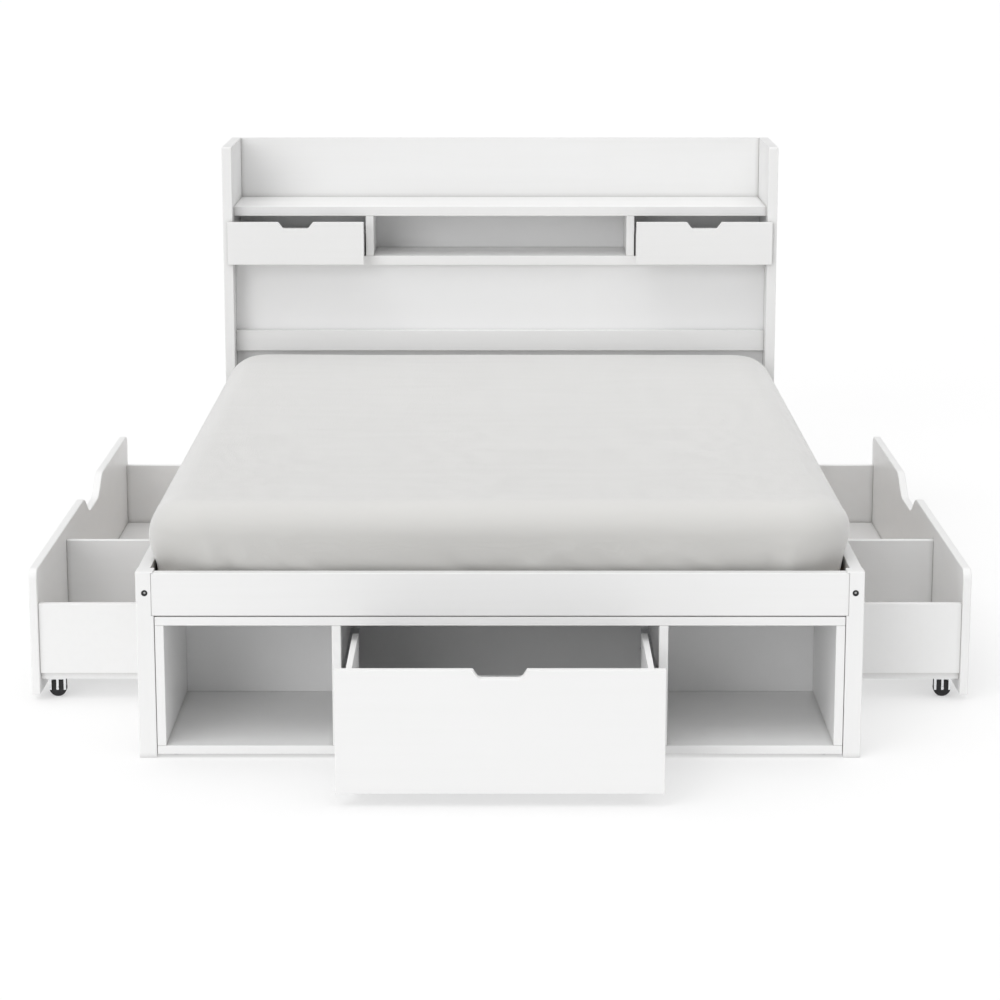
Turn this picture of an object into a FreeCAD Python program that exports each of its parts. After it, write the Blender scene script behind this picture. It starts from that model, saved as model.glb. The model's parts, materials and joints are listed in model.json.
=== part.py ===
"""Platform bed with a bookcase headboard, a storage unit at the foot and five drawers.

Millimetres, +Z up, +Y towards the headboard, +X to the right of someone standing at the foot.
Places are written from the front of the foot posts (Y = 0) and from the floor (Z = 0); save()
moves them so that the origin is on the floor, under the centre of the whole bed.
Left is the -X side. The centre and side drawers are drawn as far out as DRAWER_OUT says, the
headboard drawers closed.
"""
import FreeCAD, Part
import os
from FreeCAD import Vector

os.makedirs("parts", exist_ok=True)

# ---------------------------------------------------------------- driving dimensions
WIDTH = 1440.0
HEAD_FRONT = 1955.0          # front edge of the headboard sides
LENGTH = 2260.0
HEIGHT = 1042.0
EASE = 1.5                   # rounding of every board edge
THIN_EASE = 1.0              # the same on thin boards
PAST = 1.0                   # how far a cutting tool runs past the face it starts from
NEAR = 0.5                   # how close two heights count as the same one

POST = 35.0
POST_HEIGHT = 382.0
POST_EASE = 2.0
RAIL_BOTTOM = 294.0
RAIL_TOP = 379.0
SIDE_RAIL = 25.0
FOOT_RAIL = 23.0
FOOT_RAIL_BOTTOM = 292.0
RAIL_LET_IN = 5.0            # how far the foot rail is housed in each post

BOARD = 18.0
STORAGE_HALF = 684.0
STORAGE_FLOOR = 7.0
STORAGE_TOP = 290.0
STORAGE_FRONT = 1.0
STORAGE_DEPTH = 400.0
STORAGE_BACK = 8.0
BAY_HALF = 315.5             # half the width of the centre drawer's bay
GLIDE_RADIUS = 12.0
GLIDE_INSET = 35.0           # from the front and the back of the storage floor
GLIDE_PLACES = (325.0, 650.0)

SLAT_COUNT = 13
SLAT_WIDTH = 70.0
SLAT_THICK = 14.0
SLAT_EASE = 2.0
SLAT_SHORT = 5.0             # gap between a slat's end and the side rail
LEDGER_WIDTH = 25.0
LEDGER_HEIGHT = 18.0
LEDGER_Y = (40.0, 1950.0)
SLAT_FIRST = 60.0
SLAT_LAST = 1940.0
BEAM_WIDTH = 40.0
BEAM_DEPTH = 70.0
BEAM_CLEAR = 3.0             # from the back of the storage unit
LEG_PLACES = (430.0, 1180.0, 1900.0)

MATTRESS_HALF = 692.0
MATTRESS_FOOT = 42.0
MATTRESS_HEAD = 1950.0
MATTRESS_TOP = 506.0
MATTRESS_CORNER = 45.0       # radius in plan
MATTRESS_EDGE = 32.0         # radius of the top and bottom edges

UNIT_FRONT = 2000.0          # front of the shelf, drawer unit and bottom rail of the headboard
UNIT_BOARD = 24.5
SHELF_TOP = 884.0
UNIT_FLOOR_TOP = 755.0
UNIT_BACK = 2190.0
DIVIDER_INNER = 330.5
DIVIDER_OUTER = 351.0
UPPER_PANEL = 15.0
THIN_PANEL = 10.0
BOTTOM_RAIL_Z = (504.0, 557.5)
CROSS_RAIL_FRONT = HEAD_FRONT + 2.0
SIDE_TOP_CORNER = 4.0        # rounding of the headboard sides' top corners

DRAWER_OUT = {"centre": 320.0, "side": 280.0}

BOLT_RADIUS = 3.0
BOLT_CLEARANCE = 0.4
BOLT_HEAD_RADIUS = 6.0
COUNTERBORE_RADIUS = 6.4
COUNTERBORE_DEPTH = 4.6
BOLT_HEAD_HEIGHT = 4.0
SOCKET_ACROSS = 5.0
SOCKET_DEPTH = 2.4
BARREL_RADIUS = 5.0
BOLT_X = 702.5
BOLT_Z = 338.5
BARREL_INSET = 40.0          # barrel nut centre, from the end of the rail
BARREL_LENGTH = 16.0
BARREL_SKIN = 8.0            # timber left between the barrel nut's hole and the rail's outer face
BOLT_SPARE = 20.0            # how much deeper than the nut the bolt's hole goes
THREAD_CLEARANCE = 0.02

WHEEL_RADIUS = 19.0
WHEEL_WIDTH = 14.0
AXLE_RADIUS = 3.0
AXLE_CLEARANCE = 0.05
WHEEL_EDGE = 2.0
CHEEK = 2.5
CASTER_GAP = 0.5
AXLE_PROUD = 1.5             # axle end beyond the cheek

HALF = WIDTH / 2.0
INNER = HALF - SIDE_RAIL     # inner face of the side rails and headboard sides
FOOT_RAIL_Y = (1.0, 1.0 + FOOT_RAIL)
NUT_Y = POST + BARREL_INSET
SLAT_BOTTOM = RAIL_BOTTOM + LEDGER_HEIGHT
SLAT_TOP = SLAT_BOTTOM + SLAT_THICK
FOOT_Y = (DRAWER_OUT["centre"] - STORAGE_FRONT - LENGTH) / 2.0


ACROSS = (1, 0, 0)
ALONG = (0, 1, 0)
UP = (0, 0, 1)
NOTCH_MOUTH = 3.6            # rounding where a small front's notch meets its top edge


# ---------------------------------------------------------------- helpers
def save(name, solids):
    """Write one node, a solid or a list of separate solids, in the bed's own frame."""
    group = solids if isinstance(solids, list) else [solids]
    moved = []
    for solid in group:
        copy = solid.copy()
        copy.translate(Vector(0, FOOT_Y, 0))
        moved.append(copy)
    shape = moved[0] if len(moved) == 1 else Part.makeCompound(moved)
    shape.exportStep("parts/" + name + ".step")


def mirrored(solids):
    """The same piece, or list of pieces, on the other side of the bed."""
    if isinstance(solids, list):
        return [mirrored(solid) for solid in solids]
    return solids.mirror(Vector(0, 0, 0), Vector(1, 0, 0))


def save_pair(name, solids):
    """Write the left-hand node and its mirror image; name holds SIDE where the side goes."""
    save(name.replace("SIDE", "left"), solids)
    save(name.replace("SIDE", "right"), mirrored(solids))


def block(x, y, z):
    """A sharp-edged block between the given limits on each axis."""
    return Part.makeBox(x[1] - x[0], y[1] - y[0], z[1] - z[0], Vector(x[0], y[0], z[0]))


def board(x, y, z, ease=EASE):
    """A board with all its edges eased."""
    shape = block(x, y, z)
    return shape.makeFillet(ease, shape.Edges)


def rod(radius, start, direction, length):
    return Part.makeCylinder(radius, length, Vector(*start), Vector(*direction))


def prism_across(points, y):
    """A solid whose outline is drawn in X and Z, from y[0] to y[1]."""
    corners = [Vector(x, y[0], z) for x, z in points]
    face = Part.Face(Part.makePolygon(corners + corners[:1]))
    return face.extrude(Vector(0, y[1] - y[0], 0))


def prism_along(points, x):
    """A solid whose outline is drawn in Y and Z, from x[0] to x[1]."""
    corners = [Vector(x[0], y, z) for y, z in points]
    face = Part.Face(Part.makePolygon(corners + corners[:1]))
    return face.extrude(Vector(x[1] - x[0], 0, 0))


def notch_outline(centre, top, top_width, bottom_width, depth):
    """Hand notch: a trapezium that runs a little past the top edge of the panel."""
    slope = (top_width - bottom_width) / 2.0 / depth
    half_mouth = top_width / 2.0 + slope * PAST
    half_floor = bottom_width / 2.0
    return [(centre - half_mouth, top + PAST), (centre - half_floor, top - depth),
            (centre + half_floor, top - depth), (centre + half_mouth, top + PAST)]


def edges_near_height(shape, height, thickness_axis):
    """Edges that cross the panel's thickness at this height: the corners of a notch."""
    found = []
    for edge in shape.Edges:
        box = edge.BoundBox
        crosses = (box.YLength if thickness_axis == "y" else box.XLength) > NEAR
        level = box.ZLength < NEAR
        if crosses and level and abs(box.ZMin - height) < NEAR:
            found.append(edge)
    return found


def edges_at_ends(shape, y, height):
    """Edges across the thickness at the two ends of a panel that lies along Y."""
    return [edge for edge in edges_near_height(shape, height, "x")
            if min(abs(edge.BoundBox.YMin - y[0]), abs(edge.BoundBox.YMin - y[1])) < NEAR]


def notched_front(x, y, z, notch, corner):
    """Drawer front in the XZ plane with a hand notch in its top edge, its inner corners rounded."""
    centre = (x[0] + x[1]) / 2.0
    shape = block(x, y, z)
    shape = shape.cut(prism_across(notch_outline(centre, z[1], *notch), (y[0] - PAST, y[1] + PAST)))
    inner = edges_near_height(shape, z[1] - notch[2], "y")
    shape = shape.makeFillet(corner, inner)
    mouth = [edge for edge in edges_near_height(shape, z[1], "y")
             if abs(edge.BoundBox.XMin - centre) < notch[0]]
    shape = shape.makeFillet(NOTCH_MOUTH, mouth)
    return shape.makeFillet(THIN_EASE, shape.Edges)


# ---------------------------------------------------------------- frame
def foot_post():
    shape = board((-HALF, -HALF + POST), (0.0, POST), (0.0, POST_HEIGHT), POST_EASE)
    housing_x = (-HALF + POST - RAIL_LET_IN, -HALF + POST + PAST)
    shape = shape.cut(block(housing_x, (-PAST, FOOT_RAIL_Y[1]), (FOOT_RAIL_BOTTOM, RAIL_TOP)))
    bolt_start = (-BOLT_X, -PAST, BOLT_Z)
    shape = shape.cut(rod(BOLT_RADIUS + BOLT_CLEARANCE, bolt_start, ALONG, POST + 2.0 * PAST))
    return shape.cut(rod(COUNTERBORE_RADIUS, bolt_start, ALONG, COUNTERBORE_DEPTH + PAST))


def foot_rail():
    end = HALF - POST + RAIL_LET_IN
    return board((-end, end), FOOT_RAIL_Y, (FOOT_RAIL_BOTTOM, RAIL_TOP))


def side_rail():
    shape = board((-HALF, -INNER), (POST, HEAD_FRONT), (RAIL_BOTTOM, RAIL_TOP))
    bolt_hole = rod(BOLT_RADIUS + BOLT_CLEARANCE, (-BOLT_X, 0.0, BOLT_Z), ALONG, NUT_Y + BOLT_SPARE)
    nut_hole = rod(BARREL_RADIUS + BOLT_CLEARANCE, (-HALF + BARREL_SKIN, NUT_Y, BOLT_Z), ACROSS, SIDE_RAIL)
    return shape.cut(bolt_hole).cut(nut_hole)


def ledger():
    x = (-INNER, -INNER + LEDGER_WIDTH)
    return board(x, LEDGER_Y, (RAIL_BOTTOM, SLAT_BOTTOM), THIN_EASE)


def slats():
    pitch = (SLAT_LAST - SLAT_FIRST - SLAT_WIDTH) / (SLAT_COUNT - 1)
    end = INNER - SLAT_SHORT
    made = []
    for index in range(SLAT_COUNT):
        start = SLAT_FIRST + index * pitch
        made.append(board((-end, end), (start, start + SLAT_WIDTH), (SLAT_BOTTOM, SLAT_TOP), SLAT_EASE))
    return made


def centre_beam():
    """Beam under the slats, notched over the storage unit at the foot end."""
    half = BEAM_WIDTH / 2.0
    foot_end = FOOT_RAIL_Y[1]
    step = STORAGE_FRONT + STORAGE_DEPTH + STORAGE_BACK + BEAM_CLEAR
    under = SLAT_BOTTOM - BEAM_DEPTH
    outline = [(foot_end, STORAGE_TOP), (step, STORAGE_TOP), (step, under),
               (CROSS_RAIL_FRONT, under), (CROSS_RAIL_FRONT, SLAT_BOTTOM), (foot_end, SLAT_BOTTOM)]
    return prism_along(outline, (-half, half))


def centre_legs():
    half = BEAM_WIDTH / 2.0
    top = SLAT_BOTTOM - BEAM_DEPTH
    return [board((-half, half), (place - half, place + half), (0.0, top)) for place in LEG_PLACES]


def socket_bolt(start, direction, length):
    """Socket-head bolt; start is the outer face of its head."""
    head = rod(BOLT_HEAD_RADIUS, start, direction, BOLT_HEAD_HEIGHT)
    shank_start = Vector(*start) + Vector(*direction) * BOLT_HEAD_HEIGHT
    shank = rod(BOLT_RADIUS, tuple(shank_start), direction, length)
    socket = rod(SOCKET_ACROSS / 2.0, start, direction, SOCKET_DEPTH)
    return head.fuse(shank).cut(socket)


def bed_bolts():
    """Foot bolts with their barrel nuts, which join the posts to the side rails."""
    made = []
    head_face = COUNTERBORE_DEPTH - BOLT_HEAD_HEIGHT
    length = NUT_Y + BARREL_RADIUS - COUNTERBORE_DEPTH
    thread_radius = BOLT_RADIUS + THREAD_CLEARANCE
    for side in (-1.0, 1.0):
        bolt = socket_bolt((side * BOLT_X, head_face, BOLT_Z), ALONG, length)
        nut_start = (side * (INNER + BARREL_LENGTH), NUT_Y, BOLT_Z)
        nut = rod(BARREL_RADIUS, nut_start, (-side, 0, 0), BARREL_LENGTH)
        thread = rod(thread_radius, (side * BOLT_X, 0.0, BOLT_Z), ALONG, NUT_Y + BOLT_SPARE)
        made += [bolt, nut.cut(thread)]
    return made


def save_frame():
    save_pair("SIDE_foot_post", foot_post())
    save("foot_rail", foot_rail())
    save_pair("SIDE_side_rail", side_rail())
    save("slat_ledgers", [ledger(), mirrored(ledger())])
    save("slats", slats())
    save("centre_beam", centre_beam())
    save("centre_legs", centre_legs())
    save("bed_bolts", bed_bolts())


# ---------------------------------------------------------------- headboard
def headboard_side():
    shape = block((-HALF, -INNER), (HEAD_FRONT, LENGTH), (0.0, HEIGHT))
    shape = shape.makeFillet(SIDE_TOP_CORNER, edges_near_height(shape, HEIGHT, "x"))
    return shape.makeFillet(EASE, shape.Edges)


def save_headboard():
    across = (-INNER, INNER)
    save_pair("headboard_SIDE_side", headboard_side())
    shelf_z = (SHELF_TOP - UNIT_BOARD, SHELF_TOP)
    upper_y = (LENGTH - UPPER_PANEL, LENGTH)
    save("headboard_upper_panel", board(across, upper_y, (shelf_z[0], HEIGHT)))
    save("headboard_shelf", board(across, (UNIT_FRONT, upper_y[0]), shelf_z))
    floor_z = (UNIT_FLOOR_TOP - UNIT_BOARD, UNIT_FLOOR_TOP)
    save("headboard_drawer_floor", board(across, (UNIT_FRONT, LENGTH), floor_z))
    inside = (UNIT_FLOOR_TOP, SHELF_TOP - UNIT_BOARD)
    divider_x = (-DIVIDER_OUTER, -DIVIDER_INNER)
    save_pair("headboard_SIDE_divider", board(divider_x, (UNIT_FRONT, UNIT_BACK), inside))
    save("headboard_compartment_back", board(across, (UNIT_BACK, UNIT_BACK + THIN_PANEL), inside))
    lower_front = UNIT_FRONT + SIDE_RAIL
    lower_y = (lower_front, lower_front + THIN_PANEL)
    save("headboard_lower_panel", board(across, lower_y, (RAIL_BOTTOM, floor_z[0]), THIN_EASE))
    save("headboard_bottom_rail", board(across, (UNIT_FRONT, lower_front), BOTTOM_RAIL_Z))
    cross_y = (CROSS_RAIL_FRONT, CROSS_RAIL_FRONT + FOOT_RAIL)
    save("head_cross_rail", board(across, cross_y, (RAIL_BOTTOM, RAIL_TOP)))


# ---------------------------------------------------------------- foot storage unit
STORAGE_Y = (STORAGE_FRONT, STORAGE_FRONT + STORAGE_DEPTH)
STORAGE_INSIDE = (STORAGE_FLOOR + BOARD, STORAGE_TOP - BOARD)

RUNNER_HEIGHT = (120.0, 165.0)
RUNNER_REACH = 18.0          # thickness of the fixed channel, measured from the divider
RUNNER_WALL = 2.5
RUNNER_CLEAR = 0.3
RUNNER_FRONT_GAP = 2.0       # behind the closed drawer front
RUNNER_BACK_GAP = 5.0        # before the storage unit's back


def fixed_runner():
    """Channel screwed to the left divider, open towards the drawer."""
    outer = (-BAY_HALF, -BAY_HALF + RUNNER_REACH)
    y = (STORAGE_FRONT + BOARD + RUNNER_FRONT_GAP, STORAGE_Y[1] - RUNNER_BACK_GAP)
    channel = block(outer, y, RUNNER_HEIGHT)
    hollow_z = (RUNNER_HEIGHT[0] + RUNNER_WALL, RUNNER_HEIGHT[1] - RUNNER_WALL)
    hollow = block((outer[0] + RUNNER_WALL, outer[1] + PAST), (y[0] - PAST, y[1] + PAST), hollow_z)
    return channel.cut(hollow)


def save_storage():
    wide = (-STORAGE_HALF, STORAGE_HALF)
    save("storage_top", board(wide, STORAGE_Y, (STORAGE_TOP - BOARD, STORAGE_TOP)))
    save("storage_floor", board(wide, STORAGE_Y, (STORAGE_FLOOR, STORAGE_FLOOR + BOARD)))
    save_pair("storage_SIDE_side", board((-STORAGE_HALF, -STORAGE_HALF + BOARD), STORAGE_Y, STORAGE_INSIDE))
    save_pair("storage_SIDE_divider", board((-BAY_HALF - BOARD, -BAY_HALF), STORAGE_Y, STORAGE_INSIDE))
    back = (STORAGE_Y[1], STORAGE_Y[1] + STORAGE_BACK)
    save("storage_back", board(wide, back, (STORAGE_FLOOR, STORAGE_TOP), THIN_EASE))
    left_glides = []
    for x in GLIDE_PLACES:
        for y in (STORAGE_Y[0] + GLIDE_INSET, STORAGE_Y[1] - GLIDE_INSET):
            left_glides.append(rod(GLIDE_RADIUS, (-x, y, 0.0), UP, STORAGE_FLOOR))
    save("storage_glides", left_glides + mirrored(left_glides))
    save("storage_runners", [fixed_runner(), mirrored(fixed_runner())])


# ---------------------------------------------------------------- mattress
def mattress():
    shape = block((-MATTRESS_HALF, MATTRESS_HALF), (MATTRESS_FOOT, MATTRESS_HEAD), (SLAT_TOP, MATTRESS_TOP))
    upright = [edge for edge in shape.Edges if edge.BoundBox.ZLength > NEAR]
    shape = shape.makeFillet(MATTRESS_CORNER, upright)
    level = [edge for edge in shape.Edges if edge.BoundBox.ZLength < NEAR]
    return shape.makeFillet(MATTRESS_EDGE, level)


# ---------------------------------------------------------------- centre drawer
CENTRE_FRONT_Y = (STORAGE_FRONT - DRAWER_OUT["centre"], STORAGE_FRONT - DRAWER_OUT["centre"] + BOARD)
CENTRE_BOX_LENGTH = 378.0
CENTRE_SIDE = 12.0
CENTRE_SIDE_OUTER = 295.5
CENTRE_BOX_Z = (40.0, 240.0)
CENTRE_BACK_TOP = 150.0
CENTRE_SIDE_CORNER = 16.0                              # radius of each side's top corner at the back
CENTRE_BOTTOM_Z = (46.0, 52.0)
CENTRE_REVEAL = 4.0                                    # above the closed front and at its sides
CENTRE_LIFT = 2.0                                      # below it
CENTRE_NOTCH = (102.0, 80.0, 17.0)                     # width at the mouth, width at the bottom, depth
CENTRE_NOTCH_CORNER = 14.0
RUNNER_BAR_SHORT = 8.0                                 # bar's end before the back of the drawer


def moving_runner():
    """Bar on the drawer's left side that runs inside the fixed channel."""
    x = (-BAY_HALF + RUNNER_WALL + RUNNER_CLEAR, -CENTRE_SIDE_OUTER)
    y = (CENTRE_FRONT_Y[1] + RUNNER_FRONT_GAP, CENTRE_FRONT_Y[1] + CENTRE_BOX_LENGTH - RUNNER_BAR_SHORT)
    inset = RUNNER_WALL + RUNNER_CLEAR
    return block(x, y, (RUNNER_HEIGHT[0] + inset, RUNNER_HEIGHT[1] - inset))


def save_centre_drawer():
    front_z = (STORAGE_INSIDE[0] + CENTRE_LIFT, STORAGE_INSIDE[1] - CENTRE_REVEAL)
    front_x = (-BAY_HALF + CENTRE_REVEAL, BAY_HALF - CENTRE_REVEAL)
    front = notched_front(front_x, CENTRE_FRONT_Y, front_z, CENTRE_NOTCH, CENTRE_NOTCH_CORNER)
    save("centre_drawer_front", front)
    y = (CENTRE_FRONT_Y[1], CENTRE_FRONT_Y[1] + CENTRE_BOX_LENGTH)
    side = block((-CENTRE_SIDE_OUTER, -CENTRE_SIDE_OUTER + CENTRE_SIDE), y, CENTRE_BOX_Z)
    side = side.makeFillet(CENTRE_SIDE_CORNER, edges_at_ends(side, (y[1], y[1]), CENTRE_BOX_Z[1]))
    side = side.makeFillet(THIN_EASE, side.Edges)
    save("centre_drawer_sides", [side, mirrored(side)])
    inner = CENTRE_SIDE_OUTER - CENTRE_SIDE
    back_y = (y[1] - CENTRE_SIDE, y[1])
    save("centre_drawer_back", board((-inner, inner), back_y, (CENTRE_BOX_Z[0], CENTRE_BACK_TOP), THIN_EASE))
    save("centre_drawer_bottom", block((-inner, inner), (y[0], back_y[0]), CENTRE_BOTTOM_Z))
    save("centre_drawer_runners", [moving_runner(), mirrored(moving_runner())])


# ---------------------------------------------------------------- headboard drawers, left one
HEAD_FRONT_X = (-707.0, -354.0)                        # laps half over the headboard side's edge
HEAD_FRONT_THICK = 16.0
HEAD_FRONT_Y = (HEAD_FRONT - 1.0 - HEAD_FRONT_THICK, HEAD_FRONT - 1.0)
HEAD_FRONT_Z = (739.5, 849.5)
HEAD_BOX_X = (-693.0, -355.0)
HEAD_BOX_LENGTH = 216.0
HEAD_SIDE = 10.0
HEAD_BOX_Z = (UNIT_FLOOR_TOP + 0.5, 812.0)
HEAD_BOTTOM_Z = (762.0, 766.0)
HEAD_NOTCH = (90.0, 64.0, 16.5)
HEAD_NOTCH_CORNER = 6.0


def save_headboard_drawers():
    front = notched_front(HEAD_FRONT_X, HEAD_FRONT_Y, HEAD_FRONT_Z, HEAD_NOTCH, HEAD_NOTCH_CORNER)
    save_pair("SIDE_headboard_drawer_front", front)
    x = HEAD_BOX_X
    box_y = (HEAD_FRONT_Y[1], HEAD_FRONT_Y[1] + HEAD_BOX_LENGTH)
    outer_side = board((x[0], x[0] + HEAD_SIDE), box_y, HEAD_BOX_Z, THIN_EASE)
    inner_side = board((x[1] - HEAD_SIDE, x[1]), box_y, HEAD_BOX_Z, THIN_EASE)
    save_pair("SIDE_headboard_drawer_sides", [outer_side, inner_side])
    inside = (x[0] + HEAD_SIDE, x[1] - HEAD_SIDE)
    back_y = (box_y[1] - HEAD_SIDE, box_y[1])
    save_pair("SIDE_headboard_drawer_back", board(inside, back_y, HEAD_BOX_Z, THIN_EASE))
    save_pair("SIDE_headboard_drawer_bottom", block(inside, (box_y[0], back_y[0]), HEAD_BOTTOM_Z))


# ---------------------------------------------------------------- side drawers, left one
SIDE_FACE = -HALF - DRAWER_OUT["side"]                 # outer face of the front panel
PANEL_X = (SIDE_FACE, SIDE_FACE + BOARD)
PANEL_Y = (414.0, 1946.0)
PANEL_Z = (12.0, 287.0)
PANEL_CORNER = 22.0                                    # radius of the two top corners
PANEL_EASE = 3.0
PANEL_NOTCH = (310.0, 165.0, 47.0)
PANEL_NOTCH_PLACE = 0.58                               # fraction of the panel's length, from the foot end
NOTCH_SWEEP = 75.0                                     # radius of the curves into and out of the notch
BOX_WALL = 15.0
BOX_DEPTH = 520.0
BOX_Y = (420.0, 1930.0)
BOX_BASE_Z = (44.0, 59.0)
BOX_TOP = 212.0
DIVIDER_TOP = 254.0
DIVIDER_PLACE = 0.28
BASE_INSET = 10.0
CASTER_ROWS = (32.0, 492.0)                            # wheel rows, measured inwards from the panel
CASTER_PLACES = (456.0, 1175.0, 1894.0)
CASTER_PLATE = (40.0, 40.0, 3.0)
CHEEK_INSET = 2.0                                      # from the plate's edge
CHEEK_BAR = 5.0                                        # width of each upright bar of a cheek
CHEEK_TOP_BAR = 1.5
CHEEK_FOOT = 4.0                                       # how far the cheeks reach below the axle's centre


def side_panel_front():
    centre = PANEL_Y[0] + PANEL_NOTCH_PLACE * (PANEL_Y[1] - PANEL_Y[0])
    shape = block(PANEL_X, PANEL_Y, PANEL_Z)
    outline = notch_outline(centre, PANEL_Z[1], *PANEL_NOTCH)
    shape = shape.cut(prism_along(outline, (PANEL_X[0] - PAST, PANEL_X[1] + PAST)))
    shape = shape.makeFillet(NOTCH_SWEEP, edges_near_height(shape, PANEL_Z[1] - PANEL_NOTCH[2], "x"))
    mouth = [edge for edge in edges_near_height(shape, PANEL_Z[1], "x")
             if abs(edge.BoundBox.YMin - centre) < PANEL_NOTCH[0]]
    shape = shape.makeFillet(NOTCH_SWEEP, mouth)
    shape = shape.makeFillet(PANEL_CORNER, edges_at_ends(shape, PANEL_Y, PANEL_Z[1]))
    return shape.makeFillet(PANEL_EASE, shape.Edges)


def caster_cheek(x, low):
    """One side plate of a caster, slotted to leave three upright bars; the middle one holds the axle."""
    half = CASTER_PLATE[0] / 2.0 - CHEEK_INSET
    under_plate = BOX_BASE_Z[0] - CASTER_PLATE[2]
    foot = WHEEL_RADIUS - CHEEK_FOOT
    cheek = block((x - half, x + half), (low, low + CHEEK), (foot, under_plate))
    width = half - 1.5 * CHEEK_BAR
    for start in (x - half + CHEEK_BAR, x + CHEEK_BAR / 2.0):
        slot_z = (foot - PAST, under_plate - CHEEK_TOP_BAR)
        cheek = cheek.cut(block((start, start + width), (low - PAST, low + CHEEK + PAST), slot_z))
    return cheek


def caster_frame(x, y):
    """Plate, two cheeks and the axle of one fixed caster; the axle runs along Y."""
    half_x = CASTER_PLATE[0] / 2.0
    half_y = CASTER_PLATE[1] / 2.0
    top = BOX_BASE_Z[0]
    plate = block((x - half_x, x + half_x), (y - half_y, y + half_y), (top - CASTER_PLATE[2], top))
    inner = WHEEL_WIDTH / 2.0 + CASTER_GAP
    reach = inner + CHEEK + AXLE_PROUD
    axle = rod(AXLE_RADIUS, (x, y - reach, WHEEL_RADIUS), ALONG, 2.0 * reach)
    made = plate.fuse(caster_cheek(x, y + inner)).fuse(caster_cheek(x, y - inner - CHEEK))
    return made.fuse(axle).removeSplitter()


def caster_wheel(x, y):
    start = (x, y - WHEEL_WIDTH / 2.0, WHEEL_RADIUS)
    shape = rod(WHEEL_RADIUS, start, ALONG, WHEEL_WIDTH)
    rims = [edge for edge in shape.Edges if edge.BoundBox.XLength > WHEEL_RADIUS]
    shape = shape.makeFillet(WHEEL_EDGE, rims)
    bore_start = (x, start[1] - PAST, WHEEL_RADIUS)
    return shape.cut(rod(AXLE_RADIUS + AXLE_CLEARANCE, bore_start, ALONG, WHEEL_WIDTH + 2.0 * PAST))


def save_side_drawers():
    save_pair("SIDE_side_drawer_front", side_panel_front())
    x = (PANEL_X[1], PANEL_X[1] + BOX_DEPTH)
    inside_x = (x[0], x[1] - BOX_WALL)
    wall_z = (BOX_BASE_Z[1], BOX_TOP)
    ends = [board(inside_x, (BOX_Y[0], BOX_Y[0] + BOX_WALL), wall_z),
            board(inside_x, (BOX_Y[1] - BOX_WALL, BOX_Y[1]), wall_z)]
    save_pair("SIDE_side_drawer_ends", ends)
    place = BOX_Y[0] + DIVIDER_PLACE * (BOX_Y[1] - BOX_Y[0])
    divider = board(inside_x, (place, place + BOX_WALL), (BOX_BASE_Z[1], DIVIDER_TOP))
    save_pair("SIDE_side_drawer_divider", divider)
    save_pair("SIDE_side_drawer_back", board((x[1] - BOX_WALL, x[1]), BOX_Y, wall_z))
    base_y = (BOX_Y[0] + BASE_INSET, BOX_Y[1] - BASE_INSET)
    save_pair("SIDE_side_drawer_base", board((x[0], x[1] - BASE_INSET / 2.0), base_y, BOX_BASE_Z))
    rows = [x[0] + offset for offset in CASTER_ROWS]
    frames = [caster_frame(row, y) for row in rows for y in CASTER_PLACES]
    save_pair("SIDE_side_drawer_casters", frames)
    save_pair("SIDE_side_drawer_outer_wheels", [caster_wheel(rows[0], y) for y in CASTER_PLACES])
    save_pair("SIDE_side_drawer_inner_wheels", [caster_wheel(rows[1], y) for y in CASTER_PLACES])


save_frame()
save_headboard()
save_storage()
save("mattress", mattress())
save_centre_drawer()
save_headboard_drawers()
save_side_drawers()
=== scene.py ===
"""Looks for the platform bed: paint, timber, metal, a mattress in its fitted sheet, light and camera."""
import json
import math
import random

import bpy
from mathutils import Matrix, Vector, noise


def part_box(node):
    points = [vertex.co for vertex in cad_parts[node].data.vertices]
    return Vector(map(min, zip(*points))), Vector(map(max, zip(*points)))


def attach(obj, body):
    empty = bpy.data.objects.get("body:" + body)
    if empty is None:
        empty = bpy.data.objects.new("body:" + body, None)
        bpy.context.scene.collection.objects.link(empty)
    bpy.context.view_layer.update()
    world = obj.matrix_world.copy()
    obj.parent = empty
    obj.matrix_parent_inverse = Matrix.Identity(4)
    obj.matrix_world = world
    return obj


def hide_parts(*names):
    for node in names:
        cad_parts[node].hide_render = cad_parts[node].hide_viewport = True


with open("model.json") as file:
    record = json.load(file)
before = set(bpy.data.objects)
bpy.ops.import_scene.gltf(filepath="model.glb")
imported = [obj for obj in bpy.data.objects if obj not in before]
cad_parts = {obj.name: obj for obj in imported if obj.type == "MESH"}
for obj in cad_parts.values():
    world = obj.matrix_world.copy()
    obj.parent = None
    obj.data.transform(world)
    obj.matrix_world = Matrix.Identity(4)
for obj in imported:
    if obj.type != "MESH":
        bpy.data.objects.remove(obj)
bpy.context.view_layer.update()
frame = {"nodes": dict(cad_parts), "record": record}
nodes = frame["nodes"]
scene = bpy.context.scene

# ---------------------------------------------------------------- measures taken from the CAD pieces
mattress_low, mattress_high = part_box("mattress")
bolt_low, bolt_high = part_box("bed_bolts")
rail_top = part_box("foot_rail")[1].z
side_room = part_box("right_side_rail")[0].x - mattress_high.x
foot_room = mattress_low.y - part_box("foot_rail")[1].y
foot_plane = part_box("left_foot_post")[0].y
right_post_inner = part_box("right_foot_post")[0].x

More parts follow.
